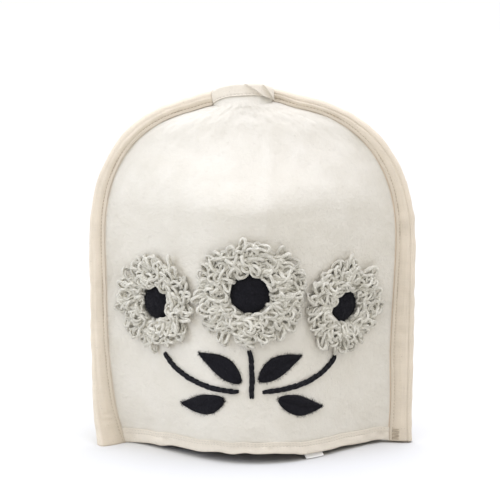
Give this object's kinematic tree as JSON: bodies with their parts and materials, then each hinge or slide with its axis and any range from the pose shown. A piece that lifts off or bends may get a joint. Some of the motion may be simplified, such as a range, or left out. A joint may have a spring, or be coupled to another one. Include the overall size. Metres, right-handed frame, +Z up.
{
  "type": "french press cosy",
  "caption": "Arched wool felt cosy that slips over a coffee press, bound in calico, with an open slot at the top and looped-yarn flowers sewn on the front.",
  "frame": {"origin": "on the floor, under the middle of the cosy's box", "axes": "+Z up, the front with the flowers faces -Y, +X to the right seen from the front"},
  "size_m": [0.2517, 0.1464, 0.2802],
  "materials": {
    "felt": "thick wool felt, off-white, matt and slightly fuzzy",
    "calico": "plain-woven unbleached calico tape, matt",
    "yarn": "looped wool yarn, heathered cream and grey",
    "black_felt": "black wool felt and stitching, matt",
    "tab": "plain white woven tape, left blank"
  },
  "bodies": {
    "root": {"front_panel": "felt", "back_panel": "felt", "seam_binding_left": "calico", "seam_binding_right": "calico", "hem_binding_front": "calico", "hem_binding_back": "calico", "slot_binding_front": "calico", "slot_binding_back": "calico", "bloom_left": "yarn", "bloom_middle": "yarn", "bloom_right": "yarn", "felt_centre_left": "black_felt", "felt_centre_middle": "black_felt", "felt_centre_right": "black_felt", "stem_left": "black_felt", "stem_middle": "black_felt", "stem_right": "black_felt", "leaf_left_upper": "black_felt", "leaf_left_lower": "black_felt", "leaf_right_upper": "black_felt", "leaf_right_lower": "black_felt", "hem_tab": "tab"}
  },
  "joints": []
}
